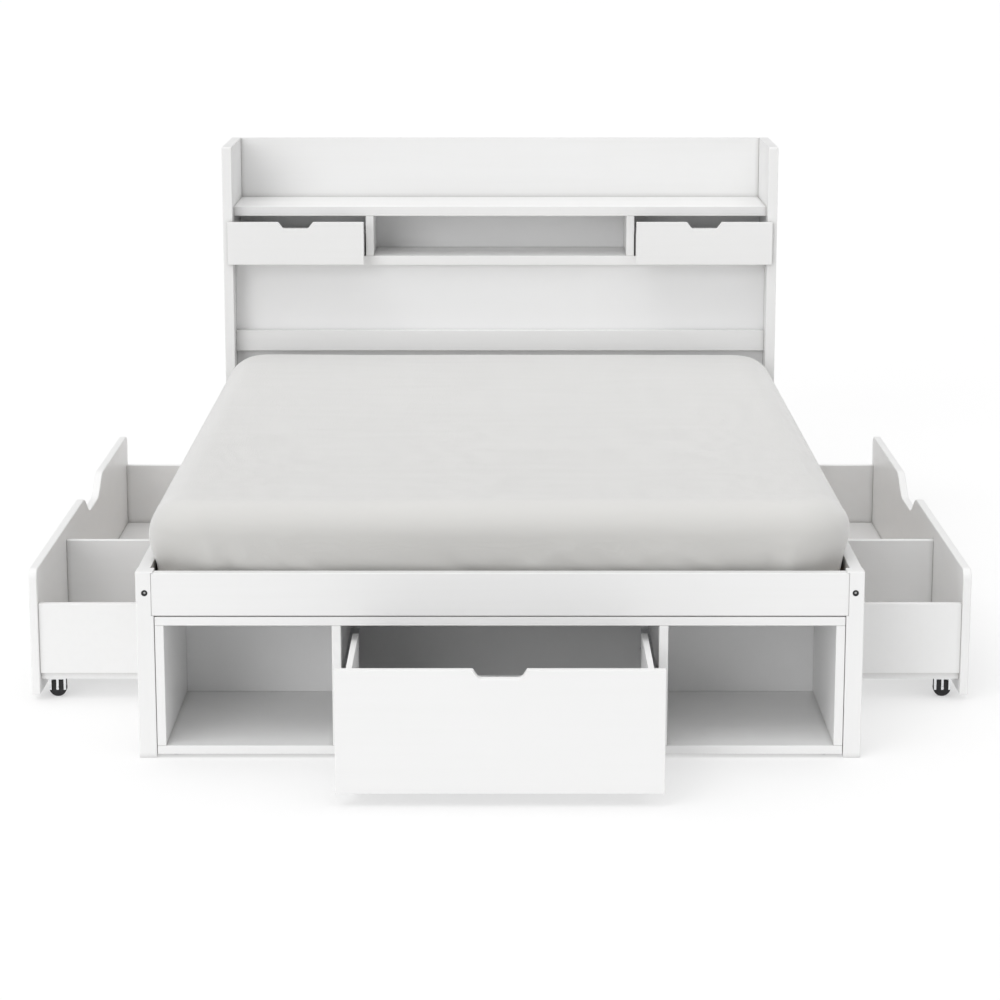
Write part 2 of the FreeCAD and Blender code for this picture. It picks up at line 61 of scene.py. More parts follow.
# ---------------------------------------------------------------- colours
PAINT = (0.860, 0.860, 0.858)
PAINT_SHADE = (0.847, 0.847, 0.845)
PAINT_GRAIN = (0.828, 0.827, 0.821)
# painted shade: the grey the paint darkens towards in corners and joints
PAINT_CORNER_SHADE = (0.42, 0.415, 0.40)
PANEL = (0.90, 0.90, 0.902)
PANEL_SHADE = (0.882, 0.884, 0.887)
PINE_PALE = (0.74, 0.53, 0.31)
PINE_MIDDLE = (0.66, 0.44, 0.23)
PINE_LATE = (0.50, 0.30, 0.14)
PINE_SAPWOOD = (0.80, 0.62, 0.40)
PINE_FIBRE = (0.42, 0.25, 0.12)
PINE_KNOT = (0.22, 0.11, 0.05)
SHEET_LIGHT = (0.685, 0.679, 0.662)
SHEET_DARK = (0.655, 0.649, 0.632)
# painted shade: the darker colour the sheet's sides are given below its top
SHEET_SIDE_SHADE = (0.585, 0.579, 0.562)
TICKING_LIGHT = (0.72, 0.71, 0.69)
TICKING_DARK = (0.62, 0.61, 0.60)
BOLT_BLACK = (0.05, 0.05, 0.052)
BOLT_WORN = (0.03, 0.03, 0.03)
# painted highlight: the bright colour in the middle of each bolt head
BOLT_PAINTED_HIGHLIGHT = (0.78, 0.78, 0.77)
RUNNER_STEEL = (0.70, 0.71, 0.72)
RUNNER_WORN = (0.52, 0.53, 0.55)
CHROME = (0.82, 0.83, 0.84)
CHROME_WORN = (0.66, 0.67, 0.69)
RUBBER = (0.012, 0.012, 0.013)
RUBBER_DUSTY = (0.03, 0.029, 0.028)
BLACK_PLASTIC = (0.016, 0.016, 0.017)
BLACK_PLASTIC_DUSTY = (0.04, 0.04, 0.04)
FLOOR_LIGHT = (0.56, 0.56, 0.56)
FLOOR_DARK = (0.55, 0.55, 0.55)
WHITE = (1.0, 1.0, 1.0, 1.0)

# ---------------------------------------------------------------- bolts, in metres
BOLT_BRIGHT = 0.0024         # radius of the painted highlight in the middle of a bolt head
BOLT_INSET = 0.0175          # from a foot post's inner face to the middle of its bolt

# ---------------------------------------------------------------- mattress and sheet, in metres
CELL = 0.016                 # size of one cloth cell
EDGE_RINGS = 6               # rings of points round the top edge,
SIDE_RINGS = 7               # down the side,
TUCK_RINGS = 4               # and round the bottom edge
QUARTER = math.radians(90.0)
SHEET_TUCK = math.radians(62.0)  # how far the sheet goes round the bottom edge
TOP_EDGE = 0.058             # rounding of the top edge
HEAD_EDGE = 0.030            # the same at the head end, where the sheet is pulled tighter
CROWN = 0.0045               # how far the padded top stands above the plain mattress
BOTTOM_EDGE = 0.030          # rounding of the bottom edge
PLAN_CORNER = 0.030          # corner of the flat top; the outside corner is larger by TOP_EDGE
BULGE = 0.012                # how far the sides swell out over the rails
WAIST = 0.004                # how far they pull in above the slats
SLACK = 0.0035               # sheet outside the core
SIDE_SHADE_DEPTH = 0.006         # below the top, where the sheet's colour starts to turn to the painted shade of its sides

FOLD_START = 0.22            # share of the way down the side at which the folds begin
FOLD_FULL = 0.60             # and at which they stand at their full height
FOLD_SINK = 0.6              # share of the slack that the hollows between folds may use
FOLD_HOLLOW = -0.8           # height of a hollow for a fold of height 1
CORNER_FOLD_FIRST = 0.014    # first fold's distance from the corner
CORNER_FOLD_LAST = 0.34      # furthest that corner folds reach
CORNER_FOLD_HEIGHT = 0.015
CORNER_FOLD_WIDTH = (0.014, 0.019)
CORNER_FOLD_SPREAD = 0.045   # how much wider a fold is for each metre from the corner
CORNER_FOLD_LEAN = (-0.25, 0.9)
CORNER_FOLD_STEP = (2.1, 2.9)  # from one fold to the next, in fold widths
CORNER_FOLD_FADE = (0.72, 0.90)  # height of the next fold for one of height 1
PLAIN_FOLDS = (4, 7)         # on each end and on each long side
PLAIN_FOLD_WIDTH = (0.016, 0.030)
PLAIN_FOLD_HEIGHT = (0.0025, 0.0050)
PLAIN_FOLD_LEAN = (0.12, 0.32)
PLAIN_FOLD_MARGIN = 0.35     # the plain stretch between the corners starts this far from them

CLOTH_GAP = 0.0015           # thickness of the cloth over the core
CAP = 0.005                  # furthest that the cloth may move while it settles
SETTLE_FRAMES = 24
HEM_SHARE = 0.45             # the hem is held up to this share of the bottom rounding
SLACK_REACH = 0.45           # slack fades out this far from each corner
SLACK_LEAST = 0.12
WAVE_HEIGHT = 0.0018         # long waves on the top
WAVE_SCALE = 2.6
CREASE_HEIGHT = 0.0005       # faint creases across it
CREASE_SCALE = (5.0, 24.0)
TOP_SKIN = 0.004             # points this close to the top are moved by the waves
ELASTIC_RADIUS = 0.0022
ELASTIC_PUCKER = 0.0007
ELASTIC_WIDTH = 1.5          # the tube is flattened: wider than round, and lower
ELASTIC_DEPTH = 0.7
ELASTIC_SIDES = 8

# ---------------------------------------------------------------- floor, sky and camera
FLOOR_REACH = 60.0           # metres from the middle to each side
FLOOR_GLOW = 0.41            # light of its own, which keeps the floor white
SKY_HORIZON = 0.16           # strength of the sky level with the floor,
SKY_OVERHEAD = 1.34          # straight up,
SKY_LEFT = 1.05              # and the share of it on each side
SKY_RIGHT = 0.95
LENS = 104.4                 # focal length and sensor width in millimetres
SENSOR = 36.0
CAMERA_BACK = 5.562          # metres in front of the foot posts
CAMERA_HEIGHT = 1.710        # metres above the floor
CAMERA_DOWN = 12.01          # degrees below level


# ---------------------------------------------------------------- material helpers
class Graph:
    """A material's node tree, with short calls for the nodes used here."""

    def __init__(self, name):
        self.material = bpy.data.materials.new(name)
        self.material.use_nodes = True
        self.tree = self.material.node_tree
        self.tree.nodes.clear()
        self.output = self.tree.nodes.new("ShaderNodeOutputMaterial")
        self.shader = self.add("ShaderNodeBsdfPrincipled")
        self.link(self.shader.outputs["BSDF"], self.output.inputs["Surface"])

    def add(self, kind, **settings):
        node = self.tree.nodes.new(kind)
        for key, value in settings.items():
            setattr(node, key, value)
        return node

    def link(self, source, target):
        self.tree.links.new(source, target)

    def place(self, scale=(1.0, 1.0, 1.0)):
        """Object coordinates in metres, scaled."""
        coordinates = self.add("ShaderNodeTexCoord")
        mapping = self.add("ShaderNodeMapping")
        mapping.inputs["Scale"].default_value = scale
        self.link(coordinates.outputs["Object"], mapping.inputs["Vector"])
        return mapping.outputs["Vector"]

    def axes(self):
        """Object coordinates in metres, one socket for each of X, Y and Z."""
        coordinates = self.add("ShaderNodeTexCoord")
        parts = self.add("ShaderNodeSeparateXYZ")
        self.link(coordinates.outputs["Object"], parts.inputs["Vector"])
        return parts.outputs

    def noise(self, vector, scale, detail=3.0, roughness=0.5):
        node = self.add("ShaderNodeTexNoise")
        node.inputs["Scale"].default_value = scale
        node.inputs["Detail"].default_value = detail
        node.inputs["Roughness"].default_value = roughness
        self.link(vector, node.inputs["Vector"])
        return node.outputs["Fac"]

    def wave(self, vector, scale, direction, profile="SIN"):
        node = self.add("ShaderNodeTexWave", bands_direction=direction, wave_profile=profile)
        node.inputs["Scale"].default_value = scale
        self.link(vector, node.inputs["Vector"])
        return node.outputs["Fac"]

    def between(self, value, low, high, start=0.0, end=1.0):
        """Goes from low to high as the value goes from start to end."""
        node = self.add("ShaderNodeMapRange")
        node.inputs["From Min"].default_value = start
        node.inputs["From Max"].default_value = end
        node.inputs["To Min"].default_value = low
        node.inputs["To Max"].default_value = high
        self.link(value, node.inputs["Value"])
        return node.outputs["Result"]

    def ramp(self, value, stops):
        node = self.add("ShaderNodeValToRGB")
        while len(node.color_ramp.elements) < len(stops):
            node.color_ramp.elements.new(0.5)
        for element, (position, colour) in zip(node.color_ramp.elements, stops):
            element.position = position
            element.color = (*colour, 1.0)
        self.link(value, node.inputs["Fac"])
        return node.outputs["Color"]

    def mix(self, factor, first, second):
        """Goes from the first colour to the second as the factor, a socket, goes from 0 to 1."""
        node = self.add("ShaderNodeMix", data_type="RGBA")
        factor_socket = node.inputs[0]
        colour_sockets = [socket for socket in node.inputs if socket.type == "RGBA"]
        self.link(factor, factor_socket)
        for socket, value in zip(colour_sockets, (first, second)):
            if isinstance(value, bpy.types.NodeSocket):
                self.link(value, socket)
            else:
                socket.default_value = (*value, 1.0)
        return next(socket for socket in node.outputs if socket.type == "RGBA")

    def maths(self, operation, first, second):
        node = self.add("ShaderNodeMath", operation=operation)
        for socket, value in zip(node.inputs, (first, second)):
            if isinstance(value, bpy.types.NodeSocket):
                self.link(value, socket)
            else:
                socket.default_value = value
        return node.outputs["Value"]

    def bump(self, height, distance, strength=1.0, below=None):
        node = self.add("ShaderNodeBump")
        node.inputs["Distance"].default_value = distance
        node.inputs["Strength"].default_value = strength
        self.link(height, node.inputs["Height"])
        if below is not None:
            self.link(below, node.inputs["Normal"])
        return node.outputs["Normal"]

    def colour(self, source):
        self.link(source, self.shader.inputs["Base Color"])

    def roughness(self, source):
        self.link(source, self.shader.inputs["Roughness"])

    def normal(self, source):
        self.link(source, self.shader.inputs["Normal"])

    def fix(self, **values):
        for name, value in values.items():
            self.shader.inputs[name.replace("_", " ")].default_value = value


def along(axis, fine, coarse):
    """Texture scales that run long on one axis and fine on the other two."""
    return tuple(coarse if index == axis else fine for index in range(3))


# ---------------------------------------------------------------- materials
def painted_wood(axis):
    """Sprayed satin white over timber: faint grain showing through, stipple, painted shade in the
    corners.
    """
    graph = Graph("white_paint_" + "xyz"[axis])
    grain = graph.noise(graph.place(along(axis, 60.0, 1.6)), 1.0, 4.0, 0.6)
    cloud = graph.noise(graph.place(), 2.3, 2.0)
    stipple = graph.noise(graph.place(), 900.0, 2.0, 0.6)
    handled = graph.noise(graph.place(), 14.0, 4.0, 0.65)
    base = graph.mix(graph.between(cloud, 0.0, 1.0, 0.3, 0.7), PAINT, PAINT_SHADE)
    base = graph.mix(graph.between(grain, 0.0, 0.45, 0.45, 0.8), base, PAINT_GRAIN)
    # painted shade: ambient occlusion darkens the paint in corners, joints and recesses
    occlusion = graph.add("ShaderNodeAmbientOcclusion", samples=4, inside=False)
    occlusion.inputs["Distance"].default_value = 0.012
    corner_shade = graph.between(occlusion.outputs["AO"], 0.55, 0.0, 0.35, 0.95)
    base = graph.mix(corner_shade, base, PAINT_CORNER_SHADE)
    graph.colour(base)
    graph.roughness(graph.between(handled, 0.36, 0.50, 0.3, 0.7))
    fine = graph.bump(stipple, 0.00006, 0.6)
    graph.normal(graph.bump(grain, 0.00016, 0.7, fine))
    graph.fix(Specular_IOR_Level=0.42, Coat_Weight=0.12, Coat_Roughness=0.28)
    return graph.material


def white_panel():
    """Thin faced board: smoother and a touch cooler than the paint."""
    graph = Graph("white_panel")
    cloud = graph.noise(graph.place(), 3.1, 2.0)
    speck = graph.noise(graph.place(), 1400.0, 2.0, 0.7)
    graph.colour(graph.mix(graph.between(cloud, 0.0, 1.0, 0.3, 0.7), PANEL, PANEL_SHADE))
    graph.roughness(graph.between(graph.noise(graph.place(), 9.0, 3.0), 0.40, 0.52, 0.3, 0.7))
    graph.normal(graph.bump(speck, 0.00004, 0.5))
    graph.fix(Specular_IOR_Level=0.4)
    return graph.material


def pine(axis):
    """Bare planed pine with growth bands, fibres and a few knots."""
    graph = Graph("pine_" + "xyz"[axis])
    place = graph.place(along(axis, 1.0, 0.12))
    warp = graph.noise(place, 6.0, 3.0, 0.6)
    shifted = graph.add("ShaderNodeVectorMath", operation="MULTIPLY_ADD")
    graph.link(warp, shifted.inputs[0])
    shifted.inputs[1].default_value = (0.05, 0.05, 0.05)
    graph.link(place, shifted.inputs[2])
    bands = graph.wave(shifted.outputs["Vector"], 26.0, "DIAGONAL", "SAW")
    fibres = graph.noise(graph.place(along(axis, 520.0, 7.0)), 1.0, 3.0, 0.6)
    board = graph.noise(graph.place(along(axis, 5.0, 0.8)), 1.0, 1.0)
    colour = graph.ramp(bands, [(0.0, PINE_PALE), (0.6, PINE_MIDDLE), (1.0, PINE_LATE)])
    colour = graph.mix(graph.between(board, 0.0, 0.5, 0.3, 0.7), colour, PINE_SAPWOOD)
    colour = graph.mix(graph.between(fibres, 0.0, 0.22, 0.45, 0.75), colour, PINE_FIBRE)
    knots = graph.add("ShaderNodeTexVoronoi", feature="F1")
    knots.inputs["Scale"].default_value = 3.3
    graph.link(graph.place(along(axis, 1.0, 0.55)), knots.inputs["Vector"])
    core = graph.between(knots.outputs["Distance"], 0.85, 0.0, 0.05, 0.10)
    graph.colour(graph.mix(core, colour, PINE_KNOT))
    graph.roughness(graph.between(fibres, 0.55, 0.75))
    graph.normal(graph.bump(fibres, 0.00025, 0.6))
    return graph.material


def metal(name, colour, worn, rough_low, rough_high, scratch_axis):
    """Plated or brushed metal with directional scratches and a duller tone in patches."""
    graph = Graph(name)
    scratches = graph.noise(graph.place(along(scratch_axis, 2600.0, 30.0)), 1.0, 2.0, 0.7)
    patches = graph.noise(graph.place(), 60.0, 3.0)
    graph.colour(graph.mix(graph.between(patches, 0.0, 0.8, 0.35, 0.7), colour, worn))
    graph.roughness(graph.between(scratches, rough_low, rough_high, 0.3, 0.7))
    graph.normal(graph.bump(scratches, 0.00002, 0.4))
    graph.fix(Metallic=1.0)
    return graph.material


def moulded(name, colour, dusty, rough_low, rough_high, grain):
    """Moulded plastic or rubber with a fine grain and a little dust."""
    graph = Graph(name)
    speck = graph.noise(graph.place(), grain, 2.0, 0.6)
    dust = graph.noise(graph.place(), 45.0, 4.0, 0.7)
    graph.colour(graph.mix(graph.between(dust, 0.0, 0.5, 0.5, 0.75), colour, dusty))
    graph.roughness(graph.between(dust, rough_low, rough_high, 0.3, 0.7))
    graph.normal(graph.bump(speck, 0.00012, 0.6))
    return graph.material


def woven(name, light, dark, side_shade, threads, sheen):
    """Plain weave: crossed threads, slubs both ways, soft mottling; painted shade darkens the sides."""
    graph = Graph(name)
    place = graph.place()
    warp = graph.wave(place, threads, "X")
    weft = graph.wave(place, threads, "Y")
    rise = graph.wave(place, threads, "Z")
    cloth = graph.maths("MULTIPLY", graph.maths("ADD", warp, rise), graph.maths("ADD", weft, 0.35))
    slub = graph.noise(graph.place((9.0, 420.0, 420.0)), 1.0, 2.0, 0.6)
    cross_slub = graph.noise(graph.place((420.0, 9.0, 420.0)), 1.0, 2.0, 0.6)
    drift = graph.noise(place, 3.0, 2.0)
    tone = graph.mix(graph.between(drift, 0.0, 0.35, 0.3, 0.7), light, dark)
    tone = graph.mix(graph.between(slub, 0.0, 0.40, 0.52, 0.80), tone, dark)
    tone = graph.mix(graph.between(cross_slub, 0.0, 0.25, 0.55, 0.80), tone, dark)
    turned = mattress_high.z - TOP_EDGE
    flat = mattress_high.z - SIDE_SHADE_DEPTH
    # painted shade: below the top edge the sides turn to the darker side colour
    down = graph.between(graph.axes()["Z"], 1.0, 0.0, turned, flat)
    graph.colour(graph.mix(down, tone, side_shade))
    graph.roughness(graph.between(slub, 0.80, 0.92, 0.3, 0.7))
    threads_up = graph.bump(cloth, 0.00010, 0.5)
    graph.normal(graph.bump(slub, 0.00012, 0.5, threads_up))
    graph.fix(Sheen_Weight=sheen, Sheen_Roughness=0.45, Specular_IOR_Level=0.2)
    return graph.material


def bolt_metal(axis_x, axis_z):
    """Black plated bolts, with a painted highlight close round each bolt's own line."""
    graph = Graph("bolt_steel")
    axes = graph.axes()
    aside = graph.maths("SUBTRACT", graph.maths("ABSOLUTE", axes["X"], 0.0), axis_x)
    above = graph.maths("SUBTRACT", axes["Z"], axis_z)
    aside_squared = graph.maths("MULTIPLY", aside, aside)
    above_squared = graph.maths("MULTIPLY", above, above)
    squares = graph.maths("ADD", aside_squared, above_squared)
    distance = graph.maths("SQRT", squares, 0.0)
    # painted highlight: the middle of each head turns bright and less metallic
    painted_highlight = graph.between(distance, 1.0, 0.0, BOLT_BRIGHT * 0.8, BOLT_BRIGHT)
    patches = graph.noise(graph.place(), 400.0, 3.0)
    plated = graph.mix(graph.between(patches, 0.0, 0.8, 0.35, 0.7), BOLT_BLACK, BOLT_WORN)
    graph.colour(graph.mix(painted_highlight, plated, BOLT_PAINTED_HIGHLIGHT))
    graph.roughness(graph.between(patches, 0.30, 0.5, 0.3, 0.7))
    graph.link(graph.between(painted_highlight, 0.85, 0.2), graph.shader.inputs["Metallic"])
    graph.normal(graph.bump(patches, 0.00003, 0.4))
    return graph.material


# ---------------------------------------------------------------- a material for every CAD piece
paint = [painted_wood(axis) for axis in range(3)]
timber = [pine(axis) for axis in range(3)]
panel = white_panel()
bolt_radius = (bolt_high.z - bolt_low.z) / 2.0
bolt_steel = bolt_metal(right_post_inner + BOLT_INSET, bolt_high.z - bolt_radius)
runner_steel = metal("runner_steel", RUNNER_STEEL, RUNNER_WORN, 0.24, 0.42, 1)
caster_chrome = metal("caster_chrome", CHROME, CHROME_WORN, 0.10, 0.26, 2)
wheel_rubber = moulded("wheel_rubber", RUBBER, RUBBER_DUSTY, 0.55, 0.8, 1500.0)
black_plastic = moulded("black_plastic", BLACK_PLASTIC, BLACK_PLASTIC_DUSTY, 0.35, 0.55, 2200.0)
sheet_cloth = woven("sheet_cloth", SHEET_LIGHT, SHEET_DARK, SHEET_SIDE_SHADE, 900.0, 1.0)
# painted shade: the ticking's sides turn to its dark tone
ticking = woven("ticking", TICKING_LIGHT, TICKING_DARK, TICKING_DARK, 420.0, 0.08)


def long_axis(name):
    low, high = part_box(name)
    size = high - low
    return max(range(3), key=lambda index: size[index])


def dress(name, material):
    data = nodes[name].data
    data.materials.clear()
    data.materials.append(material)


slot_of = {entry["node"]: entry["material_slot"] for entry in frame["record"]["subparts"]}
single = {"white_panel": panel, "bolt_steel": bolt_steel, "runner_steel": runner_steel,
          "caster_chrome": caster_chrome, "wheel_rubber": wheel_rubber, "black_plastic": black_plastic}
for node_name in nodes:
    slot = slot_of[node_name]
    if slot == "white_paint":
        dress(node_name, paint[long_axis(node_name)])
    elif slot == "pine":
        axis = 0 if node_name == "slats" else 2 if node_name == "centre_legs" else 1
        dress(node_name, timber[axis])
    elif slot in single:
        dress(node_name, single[slot])


# ---------------------------------------------------------------- mattress and fitted sheet
class Loaf:
    """A rounded slab: a flat top, then rings down the sides, every ring with the same points round it."""

    def __init__(self, skin):
        self.low = mattress_low + Vector((SLACK, SLACK, 0.0))
        self.high = mattress_high - Vector((SLACK, SLACK, 2.0 * SLACK - CROWN))
        self.skin = skin
        self.centre = (self.low + self.high) / 2.0 + Vector((0.0, (TOP_EDGE - HEAD_EDGE) / 2.0, 0.0))
        self.half_x = (self.high.x - self.low.x) / 2.0 - TOP_EDGE
        self.half_y = (self.high.y - self.low.y - TOP_EDGE - HEAD_EDGE) / 2.0
        self.columns = round(2.0 * self.half_x / CELL)
        self.rows = round(2.0 * self.half_y / CELL)

    def plan(self, column, row):
        """A point of the flat top, with its corner squares pulled into quarter discs."""
        x = (2.0 * column / self.columns - 1.0) * self.half_x
        y = (2.0 * row / self.rows - 1.0) * self.half_y
        corner_x = self.half_x - PLAN_CORNER
        corner_y = self.half_y - PLAN_CORNER
        over_x = (abs(x) - corner_x) / PLAN_CORNER
        over_y = (abs(y) - corner_y) / PLAN_CORNER
        if over_x > 0.0 and over_y > 0.0:
            round_x = over_x * math.sqrt(1.0 - over_y * over_y / 2.0)
            round_y = over_y * math.sqrt(1.0 - over_x * over_x / 2.0)
            x = math.copysign(corner_x + round_x * PLAN_CORNER, x)
            y = math.copysign(corner_y + round_y * PLAN_CORNER, y)
        return Vector((x, y, 0.0))

    def outward(self, point):
        """The direction that faces away from the slab at a point of the top's outline."""
        over_x = abs(point.x) - (self.half_x - PLAN_CORNER)
        over_y = abs(point.y) - (self.half_y - PLAN_CORNER)
        if over_x > 0.0 and over_y > 0.0:
            slant = Vector((math.copysign(over_x, point.x), math.copysign(over_y, point.y), 0.0))
            return slant.normalized()
        if over_x > over_y:
            return Vector((math.copysign(1.0, point.x), 0.0, 0.0))
        return Vector((0.0, math.copysign(1.0, point.y), 0.0))

    def rim(self):
        """Grid places round the edge of the top, anticlockwise."""
        places = [(column, 0) for column in range(self.columns)]
        places += [(self.columns, row) for row in range(self.rows)]
        places += [(column, self.rows) for column in range(self.columns, 0, -1)]
        places += [(0, row) for row in range(self.rows, 0, -1)]
        return places

    def profile(self, edge, bottom_turn):
        """(outward from the top's outline, height) of each ring below the top, down to the tuck."""
        rings = []
        top = self.high.z - edge
        for step in range(1, EDGE_RINGS + 1):
            turn = QUARTER * step / EDGE_RINGS
            radius = edge + self.skin
            swell = BULGE * math.sin(turn) ** 2
            rings.append((radius * math.sin(turn) + swell, top + radius * math.cos(turn)))
        foot = self.low.z + BOTTOM_EDGE
        for step in range(1, SIDE_RINGS + 1):
            part = step / SIDE_RINGS
            swell = BULGE * math.cos(QUARTER * part) ** 2 - WAIST * part * part
            rings.append((edge + self.skin + swell, top + (foot - top) * part))
        side = edge - WAIST
        for step in range(1, TUCK_RINGS + 1):
            turn = bottom_turn * step / TUCK_RINGS
            radius = BOTTOM_EDGE + self.skin
            rings.append((side - BOTTOM_EDGE + radius * math.cos(turn), foot - radius * math.sin(turn)))
        return rings

    def build(self, name, bottom_turn, closed, shaped=None):
        """The mesh; shaped(point, outward, share of the way down) may push each side point in or out."""
        points = []
        faces = []
        index = {}
        for row in range(self.rows + 1):
            for column in range(self.columns + 1):
                index[column, row] = len(points)
                points.append(self.centre.xy.to_3d() + self.plan(column, row)
                              + Vector((0.0, 0.0, self.high.z + self.skin)))
        for row in range(self.rows):
            for column in range(self.columns):
                faces.append((index[column, row], index[column + 1, row],
                              index[column + 1, row + 1], index[column, row + 1]))
        rim = self.rim()
        above = [index[place] for place in rim]
        side_rings = self.profile(TOP_EDGE, bottom_turn)
        head_rings = self.profile(HEAD_EDGE, bottom_turn)
        for number, (side_ring, head_ring) in enumerate(zip(side_rings, head_rings), 1):
            ring = []
            for place in rim:
                flat = self.plan(*place)
                away = self.outward(flat)
                push = shaped(flat, away, number / len(side_rings)) if shaped else 0.0
                head_share = max(away.y, 0.0) ** 2
                out, height = Vector(side_ring).lerp(Vector(head_ring), head_share)
                if height < rail_top:   # between the rails the folds have only the gap to stand in
                    edge = TOP_EDGE + (HEAD_EDGE - TOP_EDGE) * head_share
                    room = side_room + (foot_room - side_room) * min(away.y, 0.0) ** 2
                    push = min(push, max(edge + room - out, 0.0))
                point = self.centre.xy.to_3d() + flat + away * (out + push)
                point.z = height
                ring.append(len(points))
                points.append(point)
            faces += self.band(above, ring)
            above = ring
        if closed:
            self.close(points, faces, above)
        mesh = bpy.data.meshes.new(name)
        mesh.from_pydata([tuple(point) for point in points], [], faces)
        mesh.shade_smooth()
        return mesh

    def band(self, above, below):
        count = len(above)
        return [(above[step], below[step], below[(step + 1) % count], above[(step + 1) % count])
                for step in range(count)]

    def close(self, points, faces, last_ring):
        """The underside: the same grid as the top, stretched to meet the last ring."""
        edge = [points[number] for number in last_ring]
        low_x, high_x = min(point.x for point in edge), max(point.x for point in edge)
        low_y, high_y = min(point.y for point in edge), max(point.y for point in edge)
        height = edge[0].z
        index = dict(zip(self.rim(), last_ring))
        for row in range(1, self.rows):
            for column in range(1, self.columns):
                index[column, row] = len(points)
                flat = self.plan(column, row)
                across = low_x + (high_x - low_x) * (flat.x / self.half_x + 1.0) / 2.0
                up = low_y + (high_y - low_y) * (flat.y / self.half_y + 1.0) / 2.0
                points.append(Vector((across, up, height)))
        for row in range(self.rows):
            for column in range(self.columns):
                faces.append((index[column, row], index[column, row + 1],
                              index[column + 1, row + 1], index[column + 1, row]))


def new_piece(name, mesh, material):
    piece = bpy.data.objects.new(name, mesh)
    scene.collection.objects.link(piece)
    piece.data.materials.append(material)
    return piece


class Pleats:
    """Soft folds in the sheet's sides: upright and close near the corners, rare and slanting between."""

    def __init__(self, loaf, seed):
        self.folds = []
        chance = random.Random(seed)
        for sign_x in (-1.0, 1.0):
            for sign_y in (-1.0, 1.0):
                corner = Vector((sign_x * loaf.half_x, sign_y * loaf.half_y, 0.0))
                for along_x in (True, False):
                    self.add_corner(corner, along_x, chance)
        for side in range(2):
            reach = (loaf.half_x, loaf.half_y)[side] - PLAIN_FOLD_MARGIN
            for sign in (-1.0, 1.0):
                for number in range(PLAIN_FOLDS[side]):
                    self.add_between(loaf, side, sign, chance.uniform(-reach, reach), chance)

    def add_corner(self, corner, along_x, chance):
        away = CORNER_FOLD_FIRST
        height = CORNER_FOLD_HEIGHT
        while away < CORNER_FOLD_LAST:
            width = chance.uniform(*CORNER_FOLD_WIDTH) + away * CORNER_FOLD_SPREAD
            shift = Vector((away * -math.copysign(1.0, corner.x), 0.0, 0.0))
            if not along_x:
                shift = Vector((0.0, away * -math.copysign(1.0, corner.y), 0.0))
            lean = chance.uniform(*CORNER_FOLD_LEAN) * away
            signed_height = height * chance.choice((1.0, 1.0, FOLD_HOLLOW))
            self.folds.append((corner + shift, along_x, width, signed_height, lean))
            away += width * chance.uniform(*CORNER_FOLD_STEP)
            height *= chance.uniform(*CORNER_FOLD_FADE)

    def add_between(self, loaf, side, sign, place, chance):
        if side == 0:
            middle = Vector((place, sign * loaf.half_y, 0.0))
        else:
            middle = Vector((sign * loaf.half_x, place, 0.0))
        width = chance.uniform(*PLAIN_FOLD_WIDTH)
        height = chance.uniform(*PLAIN_FOLD_HEIGHT) * chance.choice((1.0, FOLD_HOLLOW))
        lean = chance.uniform(*PLAIN_FOLD_LEAN) * chance.choice((1.0, -1.0))
        self.folds.append((middle, side == 0, width, height, lean))

    def __call__(self, flat, away, down):
        """How far out the sheet stands here; down runs from 0 at the top edge to 1 at the tuck."""
        if down < FOLD_START:
            return 0.0
        depth = min((down - FOLD_START) / (FOLD_FULL - FOLD_START), 1.0)
        grow = depth * depth * (3.0 - 2.0 * depth)
        push = 0.0
        for middle, along_x, width, height, lean in self.folds:
            if along_x:
                facing = away.y * math.copysign(1.0, middle.y)
                offset = flat.x - middle.x
            else:
                facing = away.x * math.copysign(1.0, middle.x)
                offset = flat.y - middle.y
            offset += lean * (1.0 - depth) * (1.0 if middle.x > 0 else -1.0)
            push += max(facing, 0.0) ** 2 * height * math.exp(-(offset / width) ** 2)
        return max(push * grow, -SLACK * FOLD_SINK)


def settle(sheet, core):
    """Cloth: the sheet sinks on to the core while its hem is held, and no point moves more than CAP."""
    core.modifiers.new("collision", "COLLISION")
    core.collision.thickness_outer = CLOTH_GAP
    core.collision.cloth_friction = 15.0
    cloth = sheet.modifiers.new("cloth", "CLOTH")
    settings = cloth.settings
    settings.quality = 6
    settings.mass = 0.2
    settings.tension_stiffness = 12.0
    settings.compression_stiffness = 8.0
    settings.shear_stiffness = 4.0
    settings.bending_stiffness = 0.15
    settings.vertex_group_mass = "hem"
    settings.vertex_group_shrink = "slack"
    settings.shrink_min = 0.0
    settings.shrink_max = -0.035
    cloth.collision_settings.distance_min = CLOTH_GAP
    cloth.collision_settings.use_self_collision = False
    for frame_number in range(1, SETTLE_FRAMES + 1):
        scene.frame_set(frame_number)
    settled = sheet.evaluated_get(bpy.context.evaluated_depsgraph_get()).data
    for vertex, after in zip(sheet.data.vertices, [tuple(v.co) for v in settled.vertices]):
        move = Vector(after) - vertex.co
        if move.length > CAP:
            move *= CAP / move.length
        vertex.co += move
    sheet.modifiers.remove(cloth)
    core.modifiers.clear()
    scene.frame_set(1)


def cloth_groups(sheet, loaf):
    """Vertex groups: the hem that the elastic holds, and the slack in the sides near the corners."""
    hem = sheet.vertex_groups.new(name="hem")
    slack = sheet.vertex_groups.new(name="slack")
    edge_height = loaf.low.z + BOTTOM_EDGE * HEM_SHARE
    for vertex in sheet.data.vertices:
        place = vertex.co - loaf.centre
        if vertex.co.z < edge_height:
            hem.add([vertex.index], 1.0, "REPLACE")
        from_side = max(loaf.half_x - abs(place.x), 0.0)
        from_end = max(loaf.half_y - abs(place.y), 0.0)
        from_corner = math.hypot(from_side, from_end)
        side = (loaf.high.z - vertex.co.z) / TOP_EDGE
        weight = min(max(side, 0.0), 1.0) * max(1.0 - from_corner / SLACK_REACH, SLACK_LEAST)
        slack.add([vertex.index], weight, "REPLACE")


